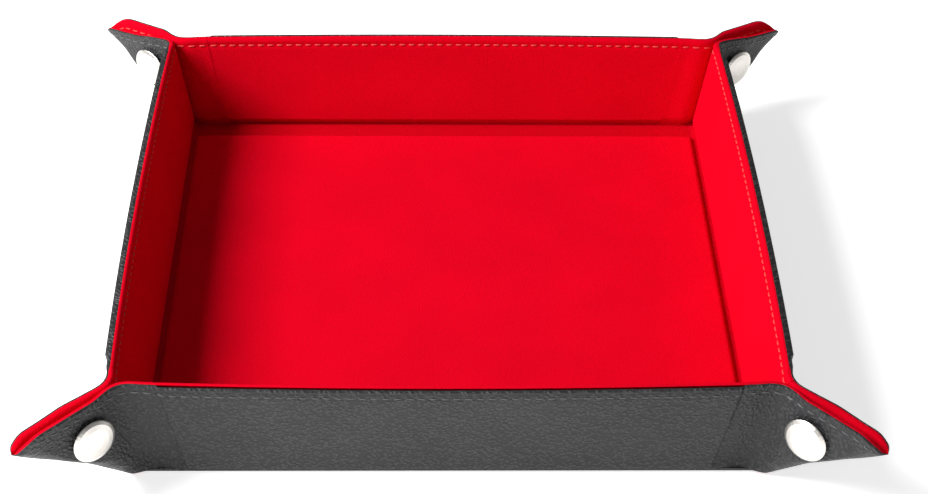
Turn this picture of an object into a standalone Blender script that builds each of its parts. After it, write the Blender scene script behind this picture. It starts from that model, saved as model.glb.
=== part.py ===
"""Folding square dice tray, with its four walls up and its corners snapped together.

The tray is one square sheet of leather and velvet with stiff boards sewn between them. The boards leave a
groove along each fold. Each corner of the sheet is pinched into a doubled ear, and a press stud holds it.
Metres, +Z up, origin at the bottom centre, front wall towards -Y.
"""

import math

import bmesh
import bpy
import numpy as np

MM = 0.001

# the flat sheet
SHEET_SIDE = 254.0
WALL_SLANT = 35.0
CREASE = SHEET_SIDE / 2 - WALL_SLANT  # from the tray's centre to each wall's fold
SHEET_CORNER_R = 12.0

# how the walls stand
END_LEAN = math.radians(6.5)  # front and back walls, outward from vertical
SIDE_LEAN = math.radians(10.5)  # left and right walls
EAR_AZIMUTH = math.radians(38.0)  # of the ears' folds, from the side walls' outward direction

# layers, as heights above the outer leather face while the sheet is flat
LEATHER = (0.0, 0.8)
BOARD = (1.1, 2.5)
WALL_VELVET = (2.8, 3.5)
EAR_VELVET = (1.1, 1.8)
NEUTRAL = 0.4  # the leather's middle, where every fold turns

# gaps on each side of a fold
LEATHER_GAP = 0.8
BOARD_GAP = 2.3
VELVET_GAP = 3.2
EAR_GAP = 0.45
OPEN_WALL_GAP = 1.1  # where an ear leaves a side wall, the wall's leather stops this short of the bend
OPEN_EAR_GAP = 1.9  # and the ear's own layers start this far beyond it, so that the corner opens freely
FLOOR_GAP = (3.0, 5.0)  # from the side folds and from the end folds to the floor's board
FLOOR_TUCK = 0.9  # the floor's velvet stops this much short of its board's edge
BOARD_END_GAP = 1.2
MITRE_GAP = 0.2
EAR_FOOT = 4.0  # the ears start this far up from the corner of the floor
EDGE_MARGIN = 2.0  # from the sheet's edge to the boards, which leaves room for the stitching
BOARD_CORNER_R = 3.0
HEM = 0.5  # the velvet stops this short of the leather's edge

# the snaps: distances along the press stud's axis, from the middle of the pinched ear
EAR_OFFSET = 3.2  # to the middle of each half's leather
SNAP_ALONG = 24.0  # from the corner of the floor, along the ear's fold
SNAP_IN = 7.2  # from the fold, back towards the wall
POST_HOLE_R = 1.9
CAP_SEGMENTS = 32
HARDWARE_SEGMENTS = 24
HOLE_SEGMENTS = 16
CAP_OUTSIDE = [(0, 5.5), (2.2, 5.42), (4.2, 5.14), (5.7, 4.7), (6.5, 4.28), (6.75, 4.08), (6.6, 3.9)]
SOCKET_POST = [(1.5, 3.9), (1.5, 0.9), (2.3, 0.9), (2.3, 0.6), (0.9, 0.6), (0.9, 2.6), (0, 2.6)]
STUD_POST = [(1.5, 3.9), (1.5, 0.5), (0, 0.5)]
SOCKET = [(1.9, 1.5), (5.2, 1.5), (5.6, 1.1), (5.6, -0.5), (5.2, -0.9), (2.9, -0.9), (2.9, -0.6)]
SOCKET += [(3.6, -0.6), (3.6, 1.2), (1.9, 1.2)]
STUD = [(0, -0.3), (1.9, -0.3), (2.35, -0.05), (2.45, 0.3), (2.2, 0.7), (2.2, 1.2), (5.0, 1.2), (5.0, 1.5)]
STUD += [(1.8, 1.5), (1.8, 0.2), (0, 0.2)]
SPRING_R = 3.0
SPRING_WIRE_R = 0.25
SPRING_AT = -0.2
SPRING_OPENING = math.radians(50)
SPRING_STEPS = 20

END_WALLS = {"front": -1, "back": 1}
SIDE_WALLS = {"left": -1, "right": 1}

X = np.array([1.0, 0.0, 0.0])
Y = np.array([0.0, 1.0, 0.0])


def unit(v):
    return v / np.linalg.norm(v)


def turned(points, through, axis, angle):
    """The points after a turn about the axis that passes through a point."""
    k = np.array([[0, -axis[2], axis[1]], [axis[2], 0, -axis[0]], [-axis[1], axis[0], 0]])
    turn = np.eye(3) + math.sin(angle) * k + (1 - math.cos(angle)) * k @ k
    return (np.asarray(points) - through) @ turn.T + through


class Corner:
    """One pinched corner, in a frame of its own: X and Y point outward from the side and the end wall.

    The origin is where the two walls' folds meet. The walls' planes cross along `pinch`. Beyond it both
    halves of the ear lie beside one plane, which holds `pinch` and the ear's own fold, `crest`.
    """

    def __init__(self):
        self.pinch = unit(np.array([math.tan(SIDE_LEAN), math.tan(END_LEAN), 1.0]))
        spread = (math.pi / 2 - math.asin(self.pinch[0]) - math.asin(self.pinch[1])) / 2
        self.crest = self.direction_at(spread)
        self.normal = unit(np.cross(self.crest, self.pinch))
        self.normal *= math.copysign(1, self.normal[1])
        across = self.crest - (self.crest @ self.pinch) * self.pinch
        self.halves = {}
        for half, outward, side in (("end", X, 1), ("side", Y, -1)):
            bend = outward * EAR_OFFSET / (outward @ self.normal * side)
            level = unit(outward - (outward @ self.pinch) * self.pinch)
            angle = math.acos(level @ unit(across))
            angle = math.copysign(angle, np.cross(level, across) @ self.pinch)
            self.halves[half] = (bend, angle)
        self.below = unit(self.crest * (self.crest @ self.pinch) - self.pinch)
        self.snap = SNAP_ALONG * self.crest - SNAP_IN * self.below
        self.crest_point = self.crest_shift() * self.below

    def direction_at(self, spread):
        """The direction at the ear's azimuth that lies this angle away from the pinch."""
        low, high = math.radians(20), math.radians(85)
        for _ in range(50):
            tilt = (low + high) / 2
            level = math.sin(tilt)
            there = np.array([math.cos(EAR_AZIMUTH) * level, math.sin(EAR_AZIMUTH) * level, math.cos(tilt)])
            if math.acos(there @ self.pinch) > spread:
                high = tilt
            else:
                low = tilt
        return there

    def crest_shift(self):
        """How far below the corner's plane line the ear folds, so that it opens out flat."""
        bend, angle = self.halves["end"]
        laid = turned(self.normal * EAR_OFFSET, bend, self.pinch, -angle)
        laid_side_bend, side_angle = self.halves["side"]
        laid_side = turned(-self.normal * EAR_OFFSET, laid_side_bend, self.pinch, -side_angle)
        gap = np.array([laid[0] - laid_side @ self.slope("side"), laid @ self.slope("end") - laid_side[1]])
        fold = self.fold_direction()
        return float(abs(gap @ np.array([fold[1], -fold[0]]))) / 2

    def slope(self, half):
        """Up the face of the wall that this half belongs to."""
        if half == "end":
            return np.array([0.0, math.sin(END_LEAN), math.cos(END_LEAN)])
        return np.array([math.sin(SIDE_LEAN), 0.0, math.cos(SIDE_LEAN)])

    def inward(self, half):
        if half == "end":
            return np.array([0.0, -math.cos(END_LEAN), math.sin(END_LEAN)])
        return np.array([-math.cos(SIDE_LEAN), 0.0, math.sin(SIDE_LEAN)])

    def fold_direction(self):
        """The ear's fold on the flat sheet."""
        first = math.asin(self.pinch[0])
        second = math.asin(self.pinch[1])
        angle = first + (math.pi / 2 - first - second) / 2
        return np.array([math.sin(angle), math.cos(angle)])

    def wall(self, half, flat):
        """Points of the flat sheet, as (x, y, height), where the wall holds them."""
        flat = np.atleast_2d(flat)
        along, up = (0, 1) if half == "end" else (1, 0)
        run = X if half == "end" else Y
        rise = flat[:, 2:] - NEUTRAL
        return flat[:, [along]] * run + flat[:, [up]] * self.slope(half) + rise * self.inward(half)

    def ear(self, half, flat):
        bend, angle = self.halves[half]
        return turned(self.wall(half, flat), bend, self.pinch, angle)

    def on_sheet(self, half, point):
        """The flat sheet's (x, y) of a point on this half's leather."""
        bend, angle = self.halves[half]
        laid = turned(point, bend, self.pinch, -angle)
        if half == "end":
            return np.array([laid[0], laid @ self.slope("end")])
        return np.array([laid @ self.slope("side"), laid[1]])

    def bend_limit(self, half, gap):
        """The half-plane of the sheet that lies beyond this half's bend, as (a, b, c): a x + b y <= c."""
        bend, _ = self.halves[half]
        if half == "end":
            lean = math.asin(self.pinch[0])
            return (-math.cos(lean), math.sin(lean), -bend[0] * math.cos(lean) - gap)
        lean = math.asin(self.pinch[1])
        return (math.sin(lean), -math.cos(lean), -bend[1] * math.cos(lean) - gap)

    def crest_limit(self, half):
        """The half-plane on this half's side of the ear's fold."""
        fold = self.fold_direction()
        away = np.array([fold[1], -fold[0]]) * (1 if half == "end" else -1)
        offset = (1 if half == "end" else -1) * self.normal * EAR_OFFSET
        there = self.on_sheet(half, self.crest_point + offset)
        return (away[0], away[1], float(away @ there) - EAR_GAP)

    def mitre_limit(self, half, height):
        """The half-plane of the wall's sheet that stays on its own side of the corner's plane."""
        sign = 1 if half == "end" else -1
        normal = self.normal * sign
        run = X if half == "end" else Y
        a = -normal @ run
        b = -normal @ self.slope(half)
        c = normal @ self.inward(half) * (height - NEUTRAL) - MITRE_GAP
        return (a, b, c) if half == "end" else (b, a, c)


CORNER = Corner()


def clipped(outline, limits):
    """The convex outline cut by half-planes a x + b y <= c."""
    for a, b, c in limits:
        kept = []
        for p, q in zip(outline, outline[1:] + outline[:1]):
            over_p = a * p[0] + b * p[1] - c
            over_q = a * q[0] + b * q[1] - c
            if over_p <= 0:
                kept.append(p)
            if (over_p < 0 < over_q) or (over_q < 0 < over_p):
                t = over_p / (over_p - over_q)
                kept.append((p[0] + t * (q[0] - p[0]), p[1] + t * (q[1] - p[1])))
        outline = kept
    return outline


def rounded_rectangle(x0, y0, x1, y1, radius, steps=6):
    corners = ((x1, y1, 0), (x0, y1, 90), (x0, y0, 180), (x1, y0, 270))
    outline = []
    for x, y, start in corners:
        cx = x - math.copysign(radius, x - (x0 + x1) / 2)
        cy = y - math.copysign(radius, y - (y0 + y1) / 2)
        for i in range(steps + 1):
            turn = math.radians(start + 90 * i / steps)
            outline.append((cx + radius * math.cos(turn), cy + radius * math.sin(turn)))
    return outline


def material(name, colour, roughness, metallic=0.0, sheen=0.0):
    made = bpy.data.materials.new(name)
    made.use_nodes = True
    shader = made.node_tree.nodes["Principled BSDF"]
    shader.inputs["Base Color"].default_value = (*colour, 1)
    shader.inputs["Roughness"].default_value = roughness
    shader.inputs["Metallic"].default_value = metallic
    shader.inputs["Sheen Weight"].default_value = sheen
    return made


def joint_empty(name, at, parent=None):
    empty = bpy.data.objects.new(name, None)
    bpy.context.scene.collection.objects.link(empty)
    empty.empty_display_size = 0.01
    empty.location = at * MM
    if parent:
        empty.parent = parent
        empty.location = (at - HOMES[parent.name]) * MM
    HOMES[name] = at
    return empty


def add_object(name, points, faces, body, made_of, smooth=False):
    """A closed mesh at world points in millimetres, held by its body's empty."""
    mesh = bpy.data.meshes.new(name)
    mesh.from_pydata([tuple((p - HOMES[body.name]) * MM) for p in points], [], faces)
    shape = bmesh.new()
    shape.from_mesh(mesh)
    bmesh.ops.recalc_face_normals(shape, faces=shape.faces)
    if shape.calc_volume(signed=True) < 0:
        bmesh.ops.reverse_faces(shape, faces=shape.faces)
    shape.to_mesh(mesh)
    shape.free()
    if smooth:
        mesh.shade_smooth()
        mesh.set_sharp_from_angle(angle=math.radians(40))
    made = bpy.data.objects.new(name, mesh)
    bpy.context.scene.collection.objects.link(made)
    made.parent = body
    made.data.materials.append(made_of)
    return made


def plate_mesh(outline, hole):
    """Vertices as flat (x, y) and the faces of one side, with an optional round hole."""
    shape = bmesh.new()
    loops = [[shape.verts.new((x, y, 0)) for x, y in loop] for loop in ([outline, hole] if hole else [outline])]
    edges = []
    for loop in loops:
        edges += [shape.edges.new((p, q)) for p, q in zip(loop, loop[1:] + loop[:1])]
    shape.verts.index_update()
    bmesh.ops.triangle_fill(shape, edges=edges, use_beauty=True)
    faces = [[v.index for v in face.verts] for face in shape.faces]
    shape.free()
    rings = [list(range(len(outline)))]
    if hole:
        rings.append(list(range(len(outline), len(outline) + len(hole))))
    return list(outline) + list(hole or []), faces, rings


def add_plate(name, outline, layer, place, body, made_of, hole_at=None):
    """A sheet layer between two heights, laid flat and then moved by `place`."""
    hole = None
    if hole_at is not None:
        turns = [2 * math.pi * i / HOLE_SEGMENTS for i in range(HOLE_SEGMENTS)]
        hole = [(hole_at[0] + POST_HOLE_R * math.cos(t), hole_at[1] + POST_HOLE_R * math.sin(t)) for t in turns]
    flat, side_faces, rings = plate_mesh(outline, hole)
    count = len(flat)
    points = np.array([(x, y, height) for height in layer for x, y in flat])
    faces = side_faces + [[i + count for i in reversed(face)] for face in side_faces]
    for ring in rings:
        faces += [[p, q, q + count, p + count] for p, q in zip(ring, ring[1:] + ring[:1])]
    return add_object(name, place(points), faces, body, made_of)


def add_turned(name, profile, at, axis, segments, body, made_of):
    """A solid of revolution. The profile holds (radius, distance along the axis), and closes on itself."""
    side = unit(np.cross(axis, Y if abs(axis[1]) < 0.9 else X))
    other = np.cross(axis, side)
    points = []
    rows = []
    for radius, along in profile:
        if radius == 0:
            rows.append([len(points)] * segments)
            points.append(at + along * axis)
            continue
        rows.append(list(range(len(points), len(points) + segments)))
        for i in range(segments):
            turn = 2 * math.pi * i / segments
            points.append(at + along * axis + radius * (math.cos(turn) * side + math.sin(turn) * other))
    faces = []
    for row, after in zip(rows, rows[1:] + rows[:1]):
        for i in range(segments):
            j = (i + 1) % segments
            face = list(dict.fromkeys([row[i], row[j], after[j], after[i]]))
            if len(face) > 2:
                faces.append(face)
    return add_object(name, points, faces, body, made_of, smooth=True)


def add_spring(name, at, axis, body, made_of):
    """A split wire ring."""
    side = unit(np.cross(axis, Y))
    other = np.cross(axis, side)
    sections = 6
    points = []
    for i in range(SPRING_STEPS + 1):
        turn = SPRING_OPENING / 2 + (2 * math.pi - SPRING_OPENING) * i / SPRING_STEPS
        out = math.cos(turn) * side + math.sin(turn) * other
        for k in range(sections):
            around = 2 * math.pi * k / sections
            offset = SPRING_WIRE_R * (math.cos(around) * out + math.sin(around) * axis)
            points.append(at + SPRING_AT * axis + SPRING_R * out + offset)
    faces = [list(range(sections)), list(range(len(points) - sections, len(points)))]
    for i in range(SPRING_STEPS):
        for k in range(sections):
            m = (k + 1) % sections
            row, after = i * sections, (i + 1) * sections
            faces.append([row + k, row + m, after + m, after + k])
    return add_object(name, points, faces, body, made_of, smooth=True)


def corner_to_world(sx, sy):
    """The map from a corner's own frame to the tray."""

    def place(points):
        points = np.atleast_2d(points)
        scale = np.array([sx, sy, 1.0])
        return (points + np.array([CREASE, CREASE, NEUTRAL])) * scale

    return place


def wall_place(along, outward, lean):
    """The map from a wall's flat sheet, as (along, out from the fold, height), to the tray."""

    def place(points):
        rise = points[:, 2:] - NEUTRAL
        out = CREASE + points[:, 1:2] * math.sin(lean) - rise * math.cos(lean)
        up = NEUTRAL + points[:, 1:2] * math.cos(lean) + rise * math.sin(lean)
        return points[:, :1] * along + out * outward + up * np.array([0.0, 0.0, 1.0])

    return place


def mirrored_limits(limit, half):
    """A corner's half-plane as one for each end of a wall, in (along, out) measured from the wall's middle."""
    a, b, c = limit if half == "end" else (limit[1], limit[0], limit[2])
    return [(a, b, c + a * CREASE), (-a, b, c + a * CREASE)]


def build_base():
    body = joint_empty("base", np.zeros(3))
    leather = (CREASE - LEATHER_GAP,) * 2
    board = [CREASE - gap for gap in FLOOR_GAP]
    velvet = [reach - FLOOR_TUCK for reach in board]
    for name, (x, y), radius, layer, made_of in (
        ("base_cover", leather, 1.0, LEATHER, LEATHER_MATERIAL),
        ("base_board", board, BOARD_CORNER_R, BOARD, BOARD_MATERIAL),
        ("base_lining", velvet, BOARD_CORNER_R, WALL_VELVET, VELVET_MATERIAL),
    ):
        outline = rounded_rectangle(-x, -y, x, y, radius)
        add_plate(name, outline, layer, lambda points: points, body, made_of)
    return body


def build_wall(name, half, along, outward, lean, base):
    body = joint_empty(f"{name}_wall", outward * CREASE + np.array([0.0, 0.0, NEUTRAL]), base)
    place = wall_place(along, outward, lean)
    beyond = CORNER.bend_limit(half, 0.0)
    leather_end_gap = EAR_GAP if half == "end" else OPEN_WALL_GAP
    before_bend = (-beyond[0], -beyond[1], -beyond[2] - leather_end_gap)
    board_end = (-beyond[0], -beyond[1], -beyond[2] - BOARD_END_GAP)
    reach = CREASE + WALL_SLANT
    for part, layer, gap, top, limits, made_of in (
        ("cover", LEATHER, LEATHER_GAP, WALL_SLANT, [before_bend], LEATHER_MATERIAL),
        ("board", BOARD, BOARD_GAP, WALL_SLANT - EDGE_MARGIN, [board_end], BOARD_MATERIAL),
        ("lining", WALL_VELVET, VELVET_GAP, WALL_SLANT - HEM, [], VELVET_MATERIAL),
    ):
        limits = limits + [CORNER.mitre_limit(half, layer[1])]
        sheet = [(-reach, gap), (reach, gap), (reach, top), (-reach, top)]
        ends = [end for limit in limits for end in mirrored_limits(limit, half)]
        add_plate(f"{name}_wall_{part}", clipped(sheet, ends), layer, place, body, made_of)
    return body


def build_ear_half(corner_name, half, half_name, place, body):
    corner = CORNER
    side = 1 if half == "end" else -1
    hole_at = corner.on_sheet(half, corner.snap + side * corner.normal * EAR_OFFSET)
    sheet = rounded_rectangle(-20, -20, WALL_SLANT, WALL_SLANT, SHEET_CORNER_R, steps=8)
    hem = WALL_SLANT - HEM
    inner = rounded_rectangle(-20, -20, hem, hem, SHEET_CORNER_R - HEM, steps=8)
    foot = (0.0, -1.0, -EAR_FOOT) if half == "end" else (-1.0, 0.0, -EAR_FOOT)
    bend_gap = EAR_GAP if half == "end" else OPEN_EAR_GAP
    limits = [corner.bend_limit(half, bend_gap), corner.crest_limit(half), foot]
    for part, outline, layer, made_of in (
        ("cover", sheet, LEATHER, LEATHER_MATERIAL),
        ("lining", inner, EAR_VELVET, VELVET_MATERIAL),
    ):
        add_plate(
            f"{corner_name}_ear_{half_name}_{part}",
            clipped(outline, limits),
            layer,
            lambda points: place(corner.ear(half, points)),
            body,
            made_of,
            hole_at,
        )


def build_corner(end, side, end_wall):
    name = f"{end}_{side}"
    place = corner_to_world(SIDE_WALLS[side], END_WALLS[end])
    bend = place(CORNER.halves["end"][0])[0]
    crest = place(CORNER.crest_point)[0]
    end_half = joint_empty(f"{name}_ear_{end}", bend, end_wall)
    side_half = joint_empty(f"{name}_ear_side", crest, end_half)
    build_ear_half(name, "end", end, place, end_half)
    build_ear_half(name, "side", "side", place, side_half)

    at = place(CORNER.snap)[0]
    out = unit(place(CORNER.snap + CORNER.normal)[0] - at)
    add_turned(f"{name}_socket_cap", CAP_OUTSIDE + SOCKET_POST, at, out, CAP_SEGMENTS, end_half, METAL_MATERIAL)
    add_turned(f"{name}_socket", SOCKET, at, out, HARDWARE_SEGMENTS, end_half, METAL_MATERIAL)
    add_spring(f"{name}_snap_spring", at, out, end_half, SPRING_MATERIAL)
    add_turned(f"{name}_stud_cap", CAP_OUTSIDE + STUD_POST, at, -out, CAP_SEGMENTS, side_half, METAL_MATERIAL)
    add_turned(f"{name}_stud", STUD, at, -out, HARDWARE_SEGMENTS, side_half, METAL_MATERIAL)


for old in list(bpy.data.objects):
    bpy.data.objects.remove(old)

HOMES = {}
LEATHER_MATERIAL = material("black_leather", (0.02, 0.02, 0.022), 0.5)
VELVET_MATERIAL = material("red_velvet", (0.62, 0.0, 0.02), 0.9, sheen=0.6)
BOARD_MATERIAL = material("grey_board", (0.35, 0.34, 0.32), 0.85)
METAL_MATERIAL = material("nickel", (0.8, 0.79, 0.77), 0.2, metallic=1.0)
SPRING_MATERIAL = material("spring_steel", (0.6, 0.6, 0.62), 0.3, metallic=1.0)

BASE = build_base()
for end, sign in END_WALLS.items():
    wall = build_wall(end, "end", X, sign * Y, END_LEAN, BASE)
    for side in SIDE_WALLS:
        build_corner(end, side, wall)
for side, sign in SIDE_WALLS.items():
    build_wall(side, "side", Y, sign * X, SIDE_LEAN, BASE)
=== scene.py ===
"""The folding dice tray's looks: leather, velvet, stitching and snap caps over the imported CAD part."""

import math

import bpy
import numpy as np
from mathutils import Matrix, Vector


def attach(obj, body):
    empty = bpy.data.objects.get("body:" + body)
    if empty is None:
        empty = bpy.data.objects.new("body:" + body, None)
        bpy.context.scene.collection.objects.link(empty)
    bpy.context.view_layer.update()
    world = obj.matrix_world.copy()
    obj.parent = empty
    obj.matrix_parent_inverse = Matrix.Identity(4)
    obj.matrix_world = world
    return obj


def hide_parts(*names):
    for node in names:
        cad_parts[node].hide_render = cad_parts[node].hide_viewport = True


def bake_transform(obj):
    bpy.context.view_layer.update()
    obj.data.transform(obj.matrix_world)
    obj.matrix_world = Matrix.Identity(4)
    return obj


MM = 0.001

# the sheet and its folds, in millimetres, as in the CAD part
CREASE = 92.0
SLANT = 35.0
SHEET_SIDE = 2 * (CREASE + SLANT)
SHEET_CORNER_R = 12.0
END_LEAN = math.radians(6.5)
SIDE_LEAN = math.radians(10.5)
EAR_AZIMUTH = math.radians(38.0)
NEUTRAL = 0.4
EAR_OFFSET = 3.2
SNAP_ALONG, SNAP_IN = 24.0, 7.2

# heights above the outer leather face on the flat sheet
LEATHER_IN = 0.8
VELVET_ON_BOARD = 3.5
VELVET_BACK = 0.9
VELVET_THICK = 0.7
GROOVE_FLOOR = 1.8
UNDERSIDE_SHIFT = 1.2  # moves a slab's back on the texture, so that its edge isn't smeared
SHARP = math.radians(55)
HARDWARE_SHARP = math.radians(35)
TOUCHING = 3.35  # the velvet where the two halves of an ear press together

WALL_BLEND = 0.7  # half the width of the bend at each wall's fold
FOLD_ROUNDS, BEND_ROUNDS = 80, 60
EAR_BLEND = {"end": 8.0, "side": 6.0}  # half the width of the bend between a wall and the ear
CURL_REACH = 20.0  # from a side wall's end back to the last point that the ear's bend can move
EAR_START = {"end": 9.0, "side": 0.0}  # from the bend line back to where the wall panel ends
BOARD = (1.15, 2.45)
BOARD_START = 3.7  # from a wall's fold up to its board
BOARD_RIM = 2.4  # from a wall's board to the sheet's edge
BOARD_INSET = 2.6  # from a wall's board to the panel's seams with the ears
FLOOR_BOARD = {"end": 12.0, "side": 4.4}  # from each fold in to the floor's board
APRON = {"end": 13.0, "side": 7.0}  # from each fold in to where the wall's part of the sheets ends
OTHER = {"end": "side", "side": "end"}
RAMP = 1.1  # width of the velvet's step up onto the floor's board
WALL_RAMP = (2.1, 1.5)  # where the velvet's step onto a wall's board starts, and its width
CORNER_PATCH = 0.8  # how far the end walls' leather covers the point where all the folds meet
MITRE_GAP = 0.2  # how much shorter than that point the other sheets stop
EAR_FOOT = 0.7  # from the folds up to where the ears start
FOOT_STEP = (0.25, 0.3)  # how far over the ears' foot a wall steps back to the seam, and over what height
RIM_WIDTH = 4.4  # the strip along the sheet's edge where the ears' rows keep their spacing
EDGE_ROWS = [0, 0.15, 0.35, 0.6, 0.95, 1.4, 1.9, 2.4, 2.9, 3.5]  # rows of that strip, from the edge
SEAM_LAP = 0.35  # how far an ear's end half runs under the wall panel beside it
CREST_LIP = 2.1  # radius of the leather's turn along an ear's crest
SPLAY = 1.3  # how far each half of an ear flares out along the sheet's edge
FLARE_FROM = {"end": -1.0, "side": 5.0}  # where the flare begins, beyond each half's bend
TIP_DROP = 3.2  # how far the ear's tip sags below the straight fold
SAG_ALONG = (14, 34)  # where along the crest the sag starts, and the length over which it grows
SAG_DOWN = (30, 24)  # how far below the crest it starts, and the height over which it grows
HEM = 2.0  # how far the leather is turned in at the edge
HEM_THICK = {"end": 0.45, "side": 1.9}
EAR_HEM_THICK = 0.4
HEM_FADE = 6.0  # over this much of the wall, up to the ear's bend, the hem thins to the ear's
HEM_RAMP = 0.7
RIM_ROLL = (1.05, 1.6)  # depth and radius of the velvet's roll at the sheet's edge
STITCH_INSET = 2.7
STITCH_PITCH = 3.3
STITCH_LENGTH = 2.35
THREAD_OUT, THREAD_IN = 0.06, 0.1  # how far the threads stand off the leather and the velvet
STITCH_RIBS = 6  # corners of a stitch's section
RIM_BOW = 1.6  # how far the middle of a wall's rim bows outward
BOARD_STEP = (0.8, 11.2, 1.0)  # depth of the step at a board's end, how far before the bend, and its width
CLEAR = 0.05  # least thickness or space between two layers
LEATHER_MIN = 0.5
DEEPEST = 3.5  # how far in from the flat sheet's underside the leather's outer face may be drawn

X = np.array([1.0, 0.0, 0.0])
Y = np.array([0.0, 1.0, 0.0])
Z = np.array([0.0, 0.0, 1.0])
ENDS = {"front": -1, "back": 1}
SIDES = {"left": -1, "right": 1}
WALLS = {
    "front": (X, -Y, END_LEAN),
    "back": (X, Y, END_LEAN),
    "left": (Y, -X, SIDE_LEAN),
    "right": (Y, X, SIDE_LEAN),
}


def unit(v):
    return v / np.linalg.norm(v)


def smooth(t):
    t = np.clip(t, 0, 1)
    return t * t * (3 - 2 * t)


def round_off(distance, radius):
    """0 where distance reaches the radius, rising to 1 at distance 0 along a quarter circle."""
    t = np.clip(1 - distance / radius, 0, 1)
    return 1 - np.sqrt(np.clip(1 - t * t, 0, 1))


def settled(pose, weight, share, rounds):
    """Points posed by the share of a bend that their own posed place gives them."""
    for _ in range(rounds):
        share = share + 0.5 * (weight(pose(share)) - share)
    return pose(share)


def turned(points, through, axis, angle):
    """Points turned about an axis, each by its own angle."""
    points = points - through
    angle = np.broadcast_to(angle, points.shape[:1])[:, None]
    across = np.cross(axis, points)
    along = (points @ axis)[:, None] * axis
    return through + points * np.cos(angle) + across * np.sin(angle) + along * (1 - np.cos(angle))


# the corner, in its own frame: X and Y point outward from the side wall and the end wall

PINCH = unit(np.array([math.tan(SIDE_LEAN), math.tan(END_LEAN), 1.0]))
PINCH_END, PINCH_SIDE = math.asin(PINCH[0]), math.asin(PINCH[1])
SPREAD = (math.pi / 2 - PINCH_END - PINCH_SIDE) / 2
FOLD = np.array([math.sin(PINCH_END + SPREAD), math.cos(PINCH_END + SPREAD)])


def crest_direction():
    """The way an ear's fold points, at the angle from the pinch that it has on the flat sheet."""
    low, high = math.radians(20), math.radians(85)
    for _ in range(50):
        tilt = (low + high) / 2
        level = math.sin(tilt)
        there = np.array([math.cos(EAR_AZIMUTH) * level, math.sin(EAR_AZIMUTH) * level, math.cos(tilt)])
        low, high = (low, tilt) if math.acos(there @ PINCH) > SPREAD else (tilt, high)
    return there


CREST = crest_direction()
NORMAL = unit(np.cross(CREST, PINCH))
NORMAL = NORMAL * math.copysign(1, NORMAL[1])
BELOW = unit(CREST * (CREST @ PINCH) - PINCH)
SNAP = SNAP_ALONG * CREST - SNAP_IN * BELOW


class Half:
    """One half of an ear: how its part of the flat sheet stands at rest."""

    def __init__(self, name):
        end = name == "end"
        self.name = name
        self.sign = 1 if end else -1
        self.run = X if end else Y
        if end:
            self.slope = np.array([0.0, math.sin(END_LEAN), math.cos(END_LEAN)])
            self.inward = np.array([0.0, -math.cos(END_LEAN), math.sin(END_LEAN)])
        else:
            self.slope = np.array([math.sin(SIDE_LEAN), 0.0, math.cos(SIDE_LEAN)])
            self.inward = np.array([-math.cos(SIDE_LEAN), 0.0, math.sin(SIDE_LEAN)])
        self.bend = self.run * EAR_OFFSET / (self.run @ NORMAL * self.sign)
        self.tilt = PINCH_END if end else PINCH_SIDE
        self.level = unit(self.run - (self.run @ PINCH) * PINCH)
        across = CREST - (CREST @ PINCH) * PINCH
        angle = math.acos(self.level @ unit(across))
        self.angle = math.copysign(angle, np.cross(self.level, across) @ PINCH)
        self.middle = unit(self.level + unit(across))
        self.snap = self.on_sheet(SNAP + self.sign * NORMAL * EAR_OFFSET)
        fold = FOLD if end else FOLD[::-1]
        self.fold = fold
        self.crest_at = self.on_sheet(CREST_POINT + self.sign * NORMAL * EAR_OFFSET)

    def on_sheet(self, point):
        """(across from the corner, up from the wall's fold) on the flat sheet."""
        laid = turned(point[None], self.bend, PINCH, -self.angle)[0]
        return np.array([laid @ self.run, laid @ self.slope])

    def flat(self, a, t, w):
        """Points in the wall's own plane, at heights above the sheet's underside."""
        a, t, w = (np.asarray(v, float).ravel()[:, None] for v in (a, t, w))
        return a * self.run + t * self.slope + (w - NEUTRAL) * self.inward

    def stand(self, a, t, w):
        """Rest points, which turn smoothly from the wall's plane into the ear's."""
        there = self.turn(self.flat(a, t, w), 1.0)
        drop = TIP_DROP * smooth((there @ CREST - SAG_ALONG[0]) / SAG_ALONG[1])
        drop = drop * smooth((there @ BELOW + SAG_DOWN[0]) / SAG_DOWN[1])
        return there + drop[:, None] * BELOW

    def turn(self, points, strength):
        """Points turned where they come near this bend, each by its own strength."""

        def weight(there):
            return smooth(((there - self.bend) @ self.middle / EAR_BLEND[self.name] + 1) / 2) * strength

        def pose(share):
            return turned(points, self.bend, PINCH, self.angle * share)

        return settled(pose, weight, weight(points), BEND_ROUNDS)

    def past_bend(self, a, t):
        """How far beyond the bend a point of the flat sheet lies."""
        return (a - self.bend @ self.run) * math.cos(self.tilt) - t * math.sin(self.tilt)

    def on_bend(self, past, t):
        """How far across the flat sheet a point lies that is this far beyond the bend."""
        return self.bend @ self.run + (past + t * math.sin(self.tilt)) / math.cos(self.tilt)

    def to_crest(self, a, t):
        """How far short of the crest a point of the flat sheet lies."""
        return -((a - self.crest_at[0]) * self.fold[1] - (t - self.crest_at[1]) * self.fold[0])


CREST_POINT = np.zeros(3)
HALVES = {"end": Half("end"), "side": Half("side")}


def crest_shift():
    """How far the ear's fold is moved down, for its two halves to meet on the flat sheet's diagonal."""
    laid = [HALVES[h].on_sheet(HALVES[h].sign * NORMAL * EAR_OFFSET) for h in ("end", "side")]
    gap = laid[0] - laid[1][::-1]
    return abs(gap @ np.array([FOLD[1], -FOLD[0]])) / 2


CREST_POINT = crest_shift() * BELOW
HALVES = {"end": Half("end"), "side": Half("side")}


def edge_distance(a, t):
    """How far inside the sheet's rounded outline a point of a corner square lies."""
    inner = SLANT - SHEET_CORNER_R
    da, dt = np.maximum(a - inner, 0), np.maximum(t - inner, 0)
    corner = SHEET_CORNER_R - np.hypot(da, dt)
    return np.where((da > 0) & (dt > 0), corner, SLANT - np.maximum(a, t))


# the two sheets' thickness profiles


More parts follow.
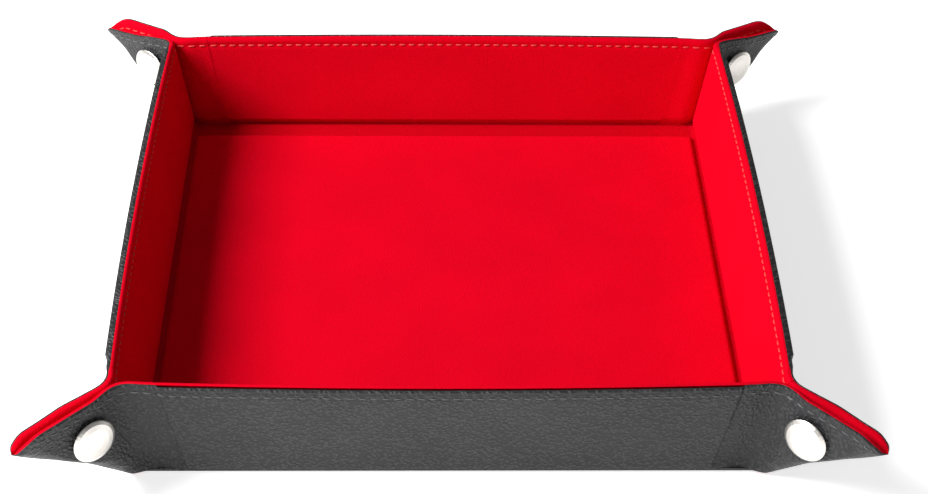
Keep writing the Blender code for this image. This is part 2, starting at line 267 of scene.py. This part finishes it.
def hem_inside(edge, half, past):
    """The inner face of the leather, which is turned over at the sheet's edge and so is thicker there."""
    thick = EAR_HEM_THICK + (HEM_THICK[half.name] - EAR_HEM_THICK) * smooth(-np.asarray(past) / HEM_FADE)
    rounding = 0.45 * round_off(np.maximum(edge, 0), HEM_RAMP)
    return LEATHER_IN + thick * smooth((HEM - edge) / HEM_RAMP) - rounding


def velvet_rim(edge, half, past):
    """The velvet's face and back near the sheet's edge, where it rolls down beside the hem."""
    top = VELVET_ON_BOARD - 0.22 * np.exp(-(((STITCH_INSET - edge) / 0.8) ** 2))
    top = top - RIM_ROLL[0] * round_off(np.maximum(edge, 0), RIM_ROLL[1])
    back = np.maximum(top - VELVET_THICK, hem_inside(edge, half, past) + CLEAR)
    return top, np.minimum(back, top - CLEAR)


def leather_rim(edge):
    """How far the leather's face is drawn in near the sheet's edge and along the stitching."""
    out = 0.35 * round_off(np.maximum(edge, 0), 0.6) + 0.16 * smooth((1.8 - edge) / 0.8)
    return out + 0.16 * np.exp(-(((STITCH_INSET - edge) / 0.7) ** 2))


def board_end(past):
    """A shallow step in the leather where a wall's board ends, by the distance beyond the ear's bend."""
    depth, before, width = BOARD_STEP
    return depth * smooth((past + before) / width)


def above_fold(t):
    """0 along a wall's fold and 1 a little above it."""
    return smooth((t - 1.0) / 3.0)


def on_wall_board(t):
    """0 in the groove along a wall's fold and 1 on the wall's board."""
    return smooth((t - WALL_RAMP[0]) / WALL_RAMP[1])


def wall_half(wall):
    """The kind of ear half that a wall carries at its ends."""
    return HALVES["end" if wall in ENDS else "side"]


def wall_velvet(wall, u, t, past):
    """The velvet's face and back on a wall and on the strip of floor before it."""
    half = wall_half(wall)
    top, back = velvet_rim(SLANT - t, half, past)
    own, other = FLOOR_BOARD[half.name], FLOOR_BOARD[OTHER[half.name]]
    on_floor = smooth((-t - own) / RAMP + 1) * smooth((CREASE - np.abs(u) - other) / RAMP + 1)
    on_board = np.where(t > 0, on_wall_board(t), on_floor)
    top = GROOVE_FLOOR + (top - GROOVE_FLOOR) * on_board
    back = VELVET_BACK + (back - VELVET_BACK) * smooth((on_board - 0.3) / 0.7)
    return top, np.minimum(back, top - CLEAR)


def wall_leather(wall, t, past):
    """The leather's outer and inner faces on a wall, with a shallow dent along the fold."""
    out = leather_rim(SLANT - t) + 0.25 * np.exp(-((t / 1.3) ** 2)) + board_end(past) * above_fold(t)
    return out, np.maximum(hem_inside(SLANT - t, wall_half(wall), past), out + LEATHER_MIN)


def ear_profiles(half, a, t):
    """(leather outside, leather inside, velvet top, velvet back) over the ear's part of the sheet."""
    edge = np.maximum(edge_distance(a, t), 0)
    crest = np.maximum(half.to_crest(a, t), 0)
    past = half.past_bend(a, t)
    snap = np.hypot(a - half.snap[0], t - half.snap[1])

    # the leather is drawn in where a board ends, thins inside the ear and turns over at the crest
    off_snap = smooth((snap - 7.2) / 6.0)
    lip = 3.6 * round_off(crest, CREST_LIP + 2.5 * off_snap * smooth(edge / 7))
    thin = 0.9 * off_snap * smooth((past - 2) / 8)
    drawn_in = np.maximum(board_end(past), thin) * above_fold(t)
    out = np.minimum(leather_rim(edge) + drawn_in + lip, DEEPEST)
    inside = np.minimum(np.maximum(hem_inside(edge, half, past), out + LEATHER_MIN), DEEPEST + CLEAR)

    # the velvet touches the other half's, apart from a pocket that holds the press stud
    pocket = 1 - smooth((snap - 5.0) / 6.0)
    top, back = velvet_rim(edge, half, past)
    touching = np.minimum(top, TOUCHING - (TOUCHING - 1.8) * pocket)
    share = smooth(past / 3 + 1)
    top = top + (touching - top) * share
    top = GROOVE_FLOOR + (top - GROOVE_FLOOR) * on_wall_board(t)
    top = np.maximum(top, inside + CLEAR)
    back = back + (inside + 0.02 - back) * share

    # every layer flares out together along the edge
    flare = SPLAY * np.clip(1 - edge / 6.6, 0, 1) ** 1.4
    flare = flare * smooth((past - FLARE_FROM[half.name]) / 9) * smooth(crest / 6)
    return out - flare, inside - flare, top - flare, np.minimum(back, top - 0.03) - flare


def steps(*runs):
    """Joined spacings: (start, stop, count) runs."""
    values = []
    for start, stop, count in runs:
        values += list(np.linspace(start, stop, count, endpoint=False))
    return np.array(values + [runs[-1][1]])


def new_object(name, points, faces, uvs, made_of):
    """An object from points and texture places in millimetres."""
    mesh = bpy.data.meshes.new(name)
    mesh.from_pydata((np.asarray(points) * MM).tolist(), [], [list(map(int, f)) for f in faces])
    layer = mesh.uv_layers.new(name="UVMap")
    loops = np.empty(len(mesh.loops), np.int32)
    mesh.loops.foreach_get("vertex_index", loops)
    layer.data.foreach_set("uv", (np.asarray(uvs)[loops] / SHEET_SIDE).ravel())
    mesh.shade_smooth()
    made = bpy.data.objects.new(name, mesh)
    bpy.context.scene.collection.objects.link(made)
    made.data.materials.append(made_of)
    return made


def slab_faces(rows, cols):
    """A closed slab of two grids, outside then inside, joined round the border."""
    index = np.arange(rows * cols).reshape(rows, cols)
    count = rows * cols
    outer = np.stack([index[:-1, :-1], index[:-1, 1:], index[1:, 1:], index[1:, :-1]], -1).reshape(-1, 4)
    inner = outer[:, ::-1] + count
    ring = np.concatenate([index[0, :], index[1:, -1], index[-1, -2::-1], index[-2:0:-1, 0]])
    after = np.roll(ring, -1)
    band = np.stack([after, ring, ring + count, after + count], -1)
    return np.concatenate([outer, inner, band])


def outward_faces(points, faces):
    """The faces, turned round if the closed mesh is inside out."""
    p = np.asarray(points)
    quads = np.asarray(faces)
    a, b, c, d = (p[quads[:, i]] for i in range(4))
    volume = sum(np.einsum("ij,ij->i", a, np.cross(*pair)).sum() for pair in ((b, c), (c, d)))
    return quads if volume > 0 else quads[:, ::-1]


def slab(name, outside, inside, uv, shape, made_of):
    """A closed sheet between two grids of points."""
    points = np.concatenate([outside, inside])
    faces = outward_faces(points, slab_faces(*shape))
    made = new_object(name, points, faces, np.concatenate([uv, uv + UNDERSIDE_SHIFT]), made_of)
    made.data.set_sharp_from_angle(angle=SHARP)
    return made


def declare(piece, a, t):
    """Works out the width, length and area that the piece's grid has on the flat tray; nothing uses them.
    """
    flat = np.stack([np.asarray(a, float), np.asarray(t, float)], -1) * MM
    first = flat[1:, 1:] - flat[:-1, :-1]
    second = flat[1:, :-1] - flat[:-1, 1:]
    area = float(np.abs(first[..., 0] * second[..., 1] - first[..., 1] * second[..., 0]).sum() / 2)
    width, length = (float(np.ptp(flat[..., i])) for i in (0, 1))
    area = min(area, width * length)


# walls


def wall_fold(wall, u, t, w):
    """Rest points of a wall's part of the sheet, which turns up smoothly at its fold."""
    along, outward, lean = WALLS[wall]
    full = math.pi / 2 - lean
    u, t, h = (np.asarray(v, float).ravel() for v in (u, t, np.asarray(w) - NEUTRAL))

    def pose(share):
        angle = share * full
        return t * np.cos(angle) - h * np.sin(angle), t * np.sin(angle) + h * np.cos(angle)

    def weight(place):
        out, up = place
        reach = out * math.cos(full / 2) + up * math.sin(full / 2)
        return smooth((reach / WALL_BLEND + 1) / 2)

    out, up = settled(pose, weight, (t > 0).astype(float), FOLD_ROUNDS)
    bow = RIM_BOW * np.clip(1 - (u / (CREASE - 4)) ** 2, 0, 1) * np.clip(t / SLANT, 0, 1) ** 1.5
    out, up = out + bow * math.cos(lean), up - bow * math.sin(lean)
    if wall in SIDES:
        half = HALVES["side"]
        local = np.stack([out, np.abs(u) - CREASE, up], -1)
        near = np.abs(u) > CREASE - CURL_REACH
        local[near] = half.turn(local[near], smooth((t[near] - 1.5) / 4))
        u, out, up = np.sign(u) * (CREASE + local[:, 1]), local[:, 0], local[:, 2]
    return u[:, None] * along + (CREASE + out)[:, None] * outward + (NEUTRAL + up)[:, None] * Z


def wall_reach(wall, t, patch=0.0):
    """Half the wall panel's length at each height. `patch` lengthens the strip along the fold."""
    half = wall_half(wall)
    seam = half.bend @ half.run + t * math.tan(half.tilt) - EAR_START[half.name] / math.cos(half.tilt)
    mitre = APRON[OTHER[half.name]] / APRON[half.name]
    foot = np.where(t < 0, t * mitre, t * math.tan(half.tilt) - MITRE_GAP + patch)
    return CREASE + foot + (seam - foot) * smooth((t - EAR_FOOT - FOOT_STEP[0]) / FOOT_STEP[1])


def wall_uv(wall, u, t):
    """Places on the flat tray of a wall's points."""
    along, outward, _ = WALLS[wall]
    return u.reshape(-1, 1) * along[:2] + (CREASE + t.reshape(-1, 1)) * outward[:2]


def wall_rows(half):
    """Heights of a wall panel's rows, from the floor's edge over the fold to the rim."""
    on, off = 0.2 - FLOOR_BOARD[half.name], 0.2 + RAMP - FLOOR_BOARD[half.name]
    floor = ((-APRON[half.name], on, 4), (on, off, 6), (off, -1.5, 8))
    return steps(*floor, (-1.5, 4.5, 22), (4.5, 30, 14), (30, 33, 8), (33, SLANT, 16))


def build_wall(wall):
    _, outward, lean = WALLS[wall]
    half = wall_half(wall)
    columns = steps((-1, -0.84, 36), (-0.84, 0.84, 40), (0.84, 1, 36))
    t, s = np.meshgrid(wall_rows(half), columns, indexing="ij")
    made = []
    for part, node, made_of in (("velvet", "lining", VELVET), ("leather", "cover", LEATHER)):
        patch = CORNER_PATCH * (wall in ENDS and part == "leather")
        u = s * wall_reach(wall, t, patch)
        past = half.past_bend(np.abs(u) - CREASE, t)
        heights = wall_leather(wall, t, past) if part == "leather" else wall_velvet(wall, u, t, past)
        faces = [wall_fold(wall, u, t, height) for height in heights]
        piece = slab(f"{wall}_wall_{part}", *faces, wall_uv(wall, u, t), t.shape, made_of)
        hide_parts(f"{wall}_wall_{node}")
        made.append(piece)
    board = build_wall_board(wall)
    stitches = build_wall_stitches(wall)
    for piece, row in zip(made, (stitches["velvet"], stitches["leather"])):
        declare(piece, u, t)
    for piece in made:
        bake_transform(piece)


def build_wall_board(wall):
    t, s = np.meshgrid(steps((BOARD_START, SLANT - BOARD_RIM, 12)), steps((-1, 1, 48)), indexing="ij")
    seam = np.minimum(wall_reach(wall, t), wall_reach(wall, np.array(20.0)))
    u = s * (seam - BOARD_INSET)
    faces = [wall_fold(wall, u, t, np.full_like(t, height)) for height in BOARD]
    piece = slab(f"{wall}_wall_stiffener", *faces, wall_uv(wall, u, t), t.shape, BOARD_GREY)
    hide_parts(f"{wall}_wall_board")
    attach(piece, f"{wall}_wall")
    return piece


# ears


def to_world(end, side, points):
    """Points of the corner's own frame, placed at one of the four corners."""
    return (points + np.array([CREASE, CREASE, NEUTRAL])) * np.array([SIDES[side], ENDS[end], 1.0])


def to_flat(end, side, half, a, t):
    """Places on the flat tray of an ear half's points."""
    x, y = (a, t) if half.name == "end" else (t, a)
    return np.stack([(CREASE + x.ravel()) * SIDES[side], (CREASE + y.ravel()) * ENDS[end]], -1)


def outline_reach(angle):
    """The distance from the corner of the floor to the sheet's rounded outline, by the angle."""
    inner = SLANT - SHEET_CORNER_R
    way = np.stack([np.sin(angle), np.cos(angle)], -1)
    middle = way @ np.array([inner, inner])
    arc = middle + np.sqrt(np.maximum(middle**2 - 2 * inner**2 + SHEET_CORNER_R**2, 0))
    straight = SLANT / np.maximum(way[..., 0], way[..., 1])
    inside = np.minimum(way[..., 0], way[..., 1]) * straight <= inner
    return np.where(inside, straight, arc)


def ear_grid(half):
    """Columns from the wall to the ear's crest, each from the sheet's edge to the foot, as (across, up)."""
    start = -EAR_START[half.name] - SEAM_LAP * (half.name == "end")
    near = list(np.linspace(start, 3.2, 15))
    tops = [(half.on_bend(p, SLANT), SLANT) for p in near]
    feet = [(half.on_bend(p, EAR_FOOT), EAR_FOOT) for p in near]
    crest_foot = half.crest_at + half.fold * ((EAR_FOOT - half.crest_at[1]) / half.fold[1])
    low, high = 30.0, 60.0
    for _ in range(40):
        reach = (low + high) / 2
        tip = half.crest_at + half.fold * reach
        low, high = (reach, high) if edge_distance(tip[0], tip[1]) > 0 else (low, reach)
    first = math.atan2(*tops[-1])
    last = math.atan2(tip[0], tip[1])
    for s in 1 - (1 - np.linspace(0, 1, 31)[1:]) ** 1.7:
        angle = first + (last - first) * s
        reach = float(outline_reach(np.array(angle)))
        tops.append((reach * math.sin(angle), reach * math.cos(angle)))
        feet.append(tuple(np.array(feet[len(near) - 1]) * (1 - s) + crest_foot * s))
    tops, feet = np.array(tops), np.array(feet)
    run = np.linalg.norm(feet - tops, axis=1)
    share = np.concatenate([EDGE_ROWS, np.linspace(RIM_WIDTH, 30, 22)]) / 30
    beyond = np.maximum(share[:, None] * 30 - RIM_WIDTH, 0) / (30 - RIM_WIDTH)
    length = np.minimum(share[:, None] * 30, RIM_WIDTH) + beyond * (run - RIM_WIDTH)
    grid = tops + (feet - tops) * (length / run)[..., None]
    return grid[..., 0], grid[..., 1]


def build_ear(end, side):
    stitches = build_ear_stitches(end, side)
    for name in ("end", "side"):
        half = HALVES[name]
        a, t = ear_grid(half)
        profiles = ear_profiles(half, a, t)
        uv = to_flat(end, side, half, a, t)
        label = ear_label(end, side, name)
        for part, node, heights, made_of in (
            ("leather", "cover", profiles[:2], LEATHER),
            ("velvet", "lining", profiles[2:], VELVET),
        ):
            faces = [to_world(end, side, half.stand(a, t, height)) for height in heights]
            piece = slab(f"{label}_{part}", *faces, uv, a.shape, made_of)
            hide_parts(f"{label}_{node}")
            declare(piece, a, t)
            carry_ear(piece, end, side, name)


def ear_label(end, side, name):
    return f"{end}_{side}_ear_{end if name == 'end' else 'side'}"


def carry_ear(piece, end, side, name):
    """An end half has its transform baked into its mesh, and a side half rides on its own body."""
    if name == "end":
        blend_ear(piece, end, side)
    else:
        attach(piece, ear_label(end, side, name))


def blend_ear(piece, end, side):
    half = HALVES["end"]
    reach = half.middle * EAR_BLEND["end"]
    middle = to_world(end, side, np.array([half.bend - reach, half.bend + reach]))
    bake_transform(piece)


# stitching


def stitch_mesh(centre, way, lift):
    """One thread stitch, lying on the sheet at a flat point, as (points, faces)."""
    across = np.array([-way[1], way[0]])
    stations = np.array([-0.5, -0.42, -0.2, 0.2, 0.42, 0.5]) * STITCH_LENGTH
    size = np.array([0.12, 0.24, 0.3, 0.3, 0.24, 0.12])
    sink = np.array([0.35, 0.12, 0, 0, 0.12, 0.35])
    points = []
    for along, radius, down in zip(stations, size, sink):
        for k in range(STITCH_RIBS):
            turn = math.pi * k / 3
            x, y = centre + way * along + across * radius * math.cos(turn)
            points.append((x, y, lift(x, y, radius * 0.75 * math.sin(turn) - down)))
    faces = []
    for ring in range(0, 5 * STITCH_RIBS, STITCH_RIBS):
        for k in range(STITCH_RIBS):
            m = (k + 1) % STITCH_RIBS
            faces.append([ring + k, ring + m, ring + STITCH_RIBS + m, ring + STITCH_RIBS + k])
    faces += [[5, 4, 3, 2], [5, 2, 1, 0], [30, 31, 32, 33], [30, 33, 34, 35]]
    return np.array(points), faces


def stitch_row(name, centres, ways, place, lift, uv_of, made_of):
    """All the stitches of one seam as one object."""
    all_points, all_faces, total = [], [], 0
    for centre, way in zip(centres, ways):
        points, faces = stitch_mesh(centre, way, lift)
        all_points.append(points)
        all_faces += [[i + total for i in face] for face in faces]
        total += len(points)
    flat = np.concatenate(all_points)
    made = place(flat[:, 0], flat[:, 1], flat[:, 2])
    return new_object(name, made, all_faces, uv_of(flat[:, 0], flat[:, 1]), made_of)


def seam_rows(label, lifts, centres, ways, place, uv_of):
    """The same seam on the leather and on the velvet, by part."""
    rows = {}
    for part, made_of in (("leather", DARK_THREAD), ("velvet", RED_THREAD)):
        name = f"{label}_{part}_stitches"
        rows[part] = stitch_row(name, centres, ways, place, lifts[part], uv_of, made_of)
    return rows


def build_wall_stitches(wall):
    half = wall_half(wall)
    row = SLANT - STITCH_INSET
    reach = float(wall_reach(wall, np.array([row]))[0]) - 0.6
    count = int(2 * reach / STITCH_PITCH)
    centres = [np.array([(i + 0.5) / count * 2 * reach - reach, row]) for i in range(count)]
    ways = [np.array([1.0, 0.0])] * count

    def place(u, t, w):
        return wall_fold(wall, u, t, w)

    def uv_of(u, t):
        return wall_uv(wall, u, t)

    def on_leather(u, t, rise):
        past = half.past_bend(abs(u) - CREASE, t)
        return float(wall_leather(wall, np.array([t]), past)[0][0]) - THREAD_OUT - rise

    def on_velvet(u, t, rise):
        return float(wall_velvet(wall, u, np.array([t]), 0.0)[0][0]) + THREAD_IN + rise

    lifts = {"leather": on_leather, "velvet": on_velvet}
    rows = seam_rows(f"{wall}_wall", lifts, centres, ways, place, uv_of)
    for piece in rows.values():
        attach(piece, f"{wall}_wall")
    return rows


def inset_line(half, start):
    """Evenly spaced stitch centres along the sheet's edge, from the wall to the ear's crest."""
    inner = SLANT - SHEET_CORNER_R
    radius = SHEET_CORNER_R - STITCH_INSET
    line = [(a, SLANT - STITCH_INSET) for a in np.arange(start, inner, 0.2)]
    turn = np.linspace(0, math.pi / 2, 60)
    line += [(inner + radius * math.sin(v), inner + radius * math.cos(v)) for v in turn]
    line = np.array([p for p in line if half.to_crest(p[0], p[1]) > 2.4])
    length = np.concatenate([[0], np.cumsum(np.linalg.norm(np.diff(line, axis=0), axis=1))])
    count = max(int(length[-1] / STITCH_PITCH), 1)
    stations = (np.arange(count) + 0.5) / count * length[-1]

    def at(s):
        return np.array([np.interp(s, length, line[:, 0]), np.interp(s, length, line[:, 1])])

    return [at(s) for s in stations], [unit(at(s + 0.6) - at(s - 0.6)) for s in stations]


def build_ear_stitches(end, side):
    rows = {}
    for name in ("end", "side"):
        half = HALVES[name]
        centres, ways = inset_line(half, half.on_bend(-EAR_START[name], SLANT - STITCH_INSET))

        def place(a, t, w):
            return to_world(end, side, half.stand(a, t, w))

        def uv_of(a, t):
            return to_flat(end, side, half, a, t)

        def height(layer, a, t):
            return float(ear_profiles(half, np.array([a]), np.array([t]))[layer][0])

        lifts = {
            "leather": lambda a, t, rise: height(0, a, t) - THREAD_OUT - rise,
            "velvet": lambda a, t, rise: height(2, a, t) + THREAD_IN + rise,
        }
        made = seam_rows(ear_label(end, side, name), lifts, centres, ways, place, uv_of)
        for part, piece in made.items():
            rows[name, part] = piece
            carry_ear(piece, end, side, name)
    return rows


# floor of the tray


def build_base():
    reach = (CREASE - APRON["side"], CREASE - APRON["end"])
    board_reach = (CREASE - FLOOR_BOARD["side"], CREASE - FLOOR_BOARD["end"])
    sheets = []
    velvet = (VELVET_ON_BOARD, VELVET_ON_BOARD - VELVET_THICK)
    for part, node, heights, size, count, made_of in (
        ("leather", "cover", (0.0, LEATHER_IN), reach, 40, LEATHER),
        ("velvet", "lining", velvet, reach, 40, VELVET),
        ("board", "board", BOARD, board_reach, 4, BOARD_GREY),
    ):
        across, back = (steps((-half, half, count)) for half in size)
        y, x = np.meshgrid(back, across, indexing="ij")
        uv = np.stack([x.ravel(), y.ravel()], -1)
        faces = [np.column_stack([uv, np.full(len(uv), height)]) for height in heights]
        piece = slab(f"floor_{part}", *faces, uv, x.shape, made_of)
        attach(piece, "base")
        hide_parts(f"base_{node}")
        sheets.append((piece, x, y))
    board = sheets.pop()[0]
    for piece, x, y in sheets:
        declare(piece, x, y)


# finishes


class Nodes:
    """A node material in the making."""

    def __init__(self, name):
        self.material = bpy.data.materials.new(name)
        self.material.use_nodes = True
        self.tree = self.material.node_tree
        self.shader = self.tree.nodes["Principled BSDF"]

    def add(self, kind, values=None, links=None, **attributes):
        node = self.tree.nodes.new(kind)
        for key, value in attributes.items():
            setattr(node, key, value)
        return self.fill(node, values or {}, links or {})

    def fill(self, node, values, links):
        for key, value in values.items():
            node.inputs[key].default_value = value
        for key, source in links.items():
            self.tree.links.new(source, node.inputs[key])
        return node

    def tone(self, dark, light, share):
        """A colour between two, by a share."""
        ends = {"A": (*dark, 1), "B": (*light, 1)}
        node = self.add("ShaderNodeMix", links={"Factor": share}, data_type="RGBA")
        return self.fill(node, ends, {}).outputs["Result"]

    def ramp(self, value, *limits):
        """A value carried over to (from min, from max, to min, to max)."""
        values = dict(zip(("From Min", "From Max", "To Min", "To Max"), limits))
        return self.add("ShaderNodeMapRange", values, {"Value": value}).outputs[0]

    def times(self, value, factor, plus):
        """value x factor + plus"""
        links = {0: value, 2: plus}
        return self.add("ShaderNodeMath", {1: factor}, links, operation="MULTIPLY_ADD").outputs[0]

    def relief(self, height, strength, distance):
        values = {"Strength": strength, "Distance": distance}
        return self.add("ShaderNodeBump", values, {"Height": height}).outputs[0]

    def flat_place(self):
        return self.add("ShaderNodeUVMap", uv_map="UVMap").outputs[0]


def leather_material():
    """Pebbled leather: rounded cells, fine pores, and lighter tops."""
    m = Nodes("black_leather")
    place = {"Vector": m.flat_place()}
    warp = m.add("ShaderNodeTexNoise", {"Scale": 14, "Detail": 5}, place).outputs["Fac"]
    fine = m.add("ShaderNodeTexNoise", {"Scale": 620, "Detail": 3}, place).outputs["Fac"]
    cells = m.add("ShaderNodeTexVoronoi", links=place, feature="SMOOTH_F1")
    m.fill(cells, {"Scale": 250, "Smoothness": 0.4}, {})
    pebble = m.ramp(cells.outputs["Distance"], 0.0, 0.6, 1.0, 0.0)
    height = m.times(fine, 0.5, pebble)
    surface = {
        "Base Color": m.tone((0.004, 0.004, 0.005), (0.046, 0.046, 0.048), height),
        "Roughness": m.ramp(warp, 0.0, 1.0, 0.36, 0.58),
        "Normal": m.relief(m.times(warp, 2.0, height), 0.7, 0.0006),
    }
    m.fill(m.shader, {"Specular IOR Level": 0.35}, surface)
    return m.material


def painted_groove_shade(m, place):
    """Where the velvet gets painted shade: 1 in the two grooves between the floor's board and the front and
    back walls, and 0 elsewhere.
    """
    parts = m.add("ShaderNodeSeparateXYZ", links={0: place})
    board = CREASE - FLOOR_BOARD["end"]
    strength = None
    for axis, start, stop, first in (
        ("Y", board - 0.6, board + 0.8, 0),
        ("Y", CREASE - 0.5, CREASE + 1.5, 1),
        ("X", 88.0, 89.5, 1),
    ):
        size = m.add("ShaderNodeMath", links={0: parts.outputs[axis]}, operation="ABSOLUTE")
        inside = m.ramp(size.outputs[0], start / SHEET_SIDE, stop / SHEET_SIDE, first, 1 - first)
        if strength is None:
            strength = inside
        else:
            both = m.add("ShaderNodeMath", links={0: strength, 1: inside}, operation="MULTIPLY")
            strength = both.outputs[0]
    return strength


def velvet_material():
    """Short red pile, with painted shade that darkens it in the grooves at the front and the back."""
    m = Nodes("red_velvet")
    flat = m.flat_place()
    place = {"Vector": flat}
    nap = m.add("ShaderNodeTexNoise", {"Scale": 9, "Detail": 4}, place).outputs["Fac"]
    pile = m.add("ShaderNodeTexNoise", {"Scale": 420, "Detail": 2}, place).outputs["Fac"]
    red = m.tone((0.68, 0.0, 0.011), (0.88, 0.0, 0.016), nap)
    speckle = m.add("ShaderNodeMix", data_type="RGBA", blend_type="MULTIPLY")
    m.fill(speckle, {"Factor": 0.25}, {"A": red, "B": pile})
    # painted shade: the velvet is coloured a darker red in the grooves at the front and the back
    groove_shade = m.add("ShaderNodeMix", data_type="RGBA")
    links = {"Factor": painted_groove_shade(m, flat), "A": speckle.outputs["Result"]}
    m.fill(groove_shade, {"B": (0.5, 0.0, 0.006, 1)}, links)
    values = {
        "Roughness": 0.95,
        "Specular IOR Level": 0.04,
        "Sheen Weight": 0.22,
        "Sheen Roughness": 0.4,
        "Sheen Tint": (1.0, 0.0, 0.07, 1),
    }
    surface = {"Base Color": groove_shade.outputs["Result"], "Normal": m.relief(pile, 0.35, 0.0004)}
    m.fill(m.shader, values, surface)
    return m.material


def grained_material(name, dark, light, rough, depth, pattern, metallic=0.0):
    """A finish whose colour, roughness and relief follow one fine pattern over the object."""
    m = Nodes(name)
    place = m.add("ShaderNodeTexCoord").outputs["Object"]
    kind, scale, detail = pattern
    node = m.add(kind, {"Scale": scale, "Detail": detail}, {"Vector": place})
    if pattern is TWIST:
        node.bands_direction = "DIAGONAL"
        m.fill(node, {"Distortion": 1.5}, {})
    grain = node.outputs["Fac"]
    surface = {
        "Base Color": m.tone(dark, light, grain),
        "Roughness": m.ramp(grain, 0.0, 1.0, *rough),
        "Normal": m.relief(grain, 0.5, depth),
    }
    m.fill(m.shader, {"Metallic": metallic}, surface)
    return m.material


def paint_hardware():
    """Nickel on the press studs, which are the CAD's own pieces."""
    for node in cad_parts.values():
        if node.hide_render:
            continue
        node.data.materials.clear()
        node.data.materials.append(NICKEL)
        node.data.shade_smooth()
        node.data.set_sharp_from_angle(angle=HARDWARE_SHARP)


# studio


def build_stage():
    """A white floor, a soft key light from the left and a weak fill from the front."""
    bpy.ops.mesh.primitive_plane_add(size=8, location=(0, 0, -0.0002))
    floor = bpy.context.object
    floor.name = "studio_floor"
    white = Nodes("studio_white")
    values = {"Base Color": (0.9, 0.9, 0.9, 1), "Roughness": 0.9}
    values.update({"Emission Color": (1, 1, 1, 1), "Emission Strength": 0.66})
    white.fill(white.shader, values, {})
    floor.data.materials.append(white.material)
    world = bpy.data.worlds.new("studio")
    world.use_nodes = True
    world.node_tree.nodes["Background"].inputs["Color"].default_value = (1, 1, 1, 1)
    world.node_tree.nodes["Background"].inputs["Strength"].default_value = 0.15
    bpy.context.scene.world = world
    bpy.context.scene.view_settings.view_transform = "Standard"
    for name, at, size, power in (
        ("key", (-0.84, -0.15, 0.80), 0.48, 20.5),
        ("fill", (-0.60, -0.62, 0.30), 0.3, 2.0),
    ):
        light = bpy.data.lights.new(name, "AREA")
        light.size = size
        light.energy = power
        made = bpy.data.objects.new(name, light)
        made.location = at
        made.rotation_mode = "QUATERNION"
        made.rotation_quaternion = (-Vector(at)).to_track_quat("-Z", "Y")
        bpy.context.scene.collection.objects.link(made)


def build_camera():
    """Looks down on the tray from in front."""
    down, turn, roll = math.radians(36.51), math.radians(1.54), math.radians(0.98)
    ahead = Vector((math.sin(turn) * math.cos(down), math.cos(turn) * math.cos(down), -math.sin(down)))
    level = Vector((math.cos(turn), -math.sin(turn), 0))
    above = level.cross(ahead)
    right = math.cos(roll) * level + math.sin(roll) * above
    up = math.cos(roll) * above - math.sin(roll) * level
    camera = bpy.data.objects.new("camera", bpy.data.cameras.new("camera"))
    camera.data.sensor_width = 36
    camera.data.lens = 2102 / 928 * 36
    camera.location = (-0.0092, -0.5464, 0.4180)
    camera.rotation_mode = "QUATERNION"
    camera.rotation_quaternion = Matrix((right, up, -ahead)).transposed().to_quaternion()
    bpy.context.scene.collection.objects.link(camera)
    bpy.context.scene.camera = camera


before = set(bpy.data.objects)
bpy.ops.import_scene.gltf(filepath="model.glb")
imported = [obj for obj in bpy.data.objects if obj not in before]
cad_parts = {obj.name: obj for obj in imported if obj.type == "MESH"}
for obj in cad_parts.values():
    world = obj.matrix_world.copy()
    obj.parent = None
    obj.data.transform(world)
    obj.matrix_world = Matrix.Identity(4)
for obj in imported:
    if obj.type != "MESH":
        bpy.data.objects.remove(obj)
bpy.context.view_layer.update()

LEATHER = leather_material()
VELVET = velvet_material()
SPECKS = ("ShaderNodeTexNoise", 420.0, 5.0)
FIBRES = ("ShaderNodeTexNoise", 900.0, 6.0)
TWIST = ("ShaderNodeTexWave", 1100.0, 2.0)
NICKEL = grained_material(
    "nickel", (0.64, 0.61, 0.57), (0.78, 0.75, 0.70), (0.27, 0.41), 0.00003, SPECKS, 1.0
)
BOARD_GREY = grained_material(
    "grey_board", (0.2, 0.19, 0.17), (0.38, 0.37, 0.34), (0.8, 0.95), 0.0002, FIBRES
)
DARK_THREAD = grained_material(
    "dark_thread", (0.05, 0.05, 0.055), (0.13, 0.13, 0.135), (0.45, 0.6), 0.00012, TWIST
)
RED_THREAD = grained_material(
    "red_thread", (0.6, 0.03, 0.03), (0.86, 0.09, 0.08), (0.5, 0.7), 0.00012, TWIST
)

build_base()
for wall in WALLS:
    build_wall(wall)
for end in ENDS:
    for side in SIDES:
        build_ear(end, side)
paint_hardware()
build_stage()
build_camera()
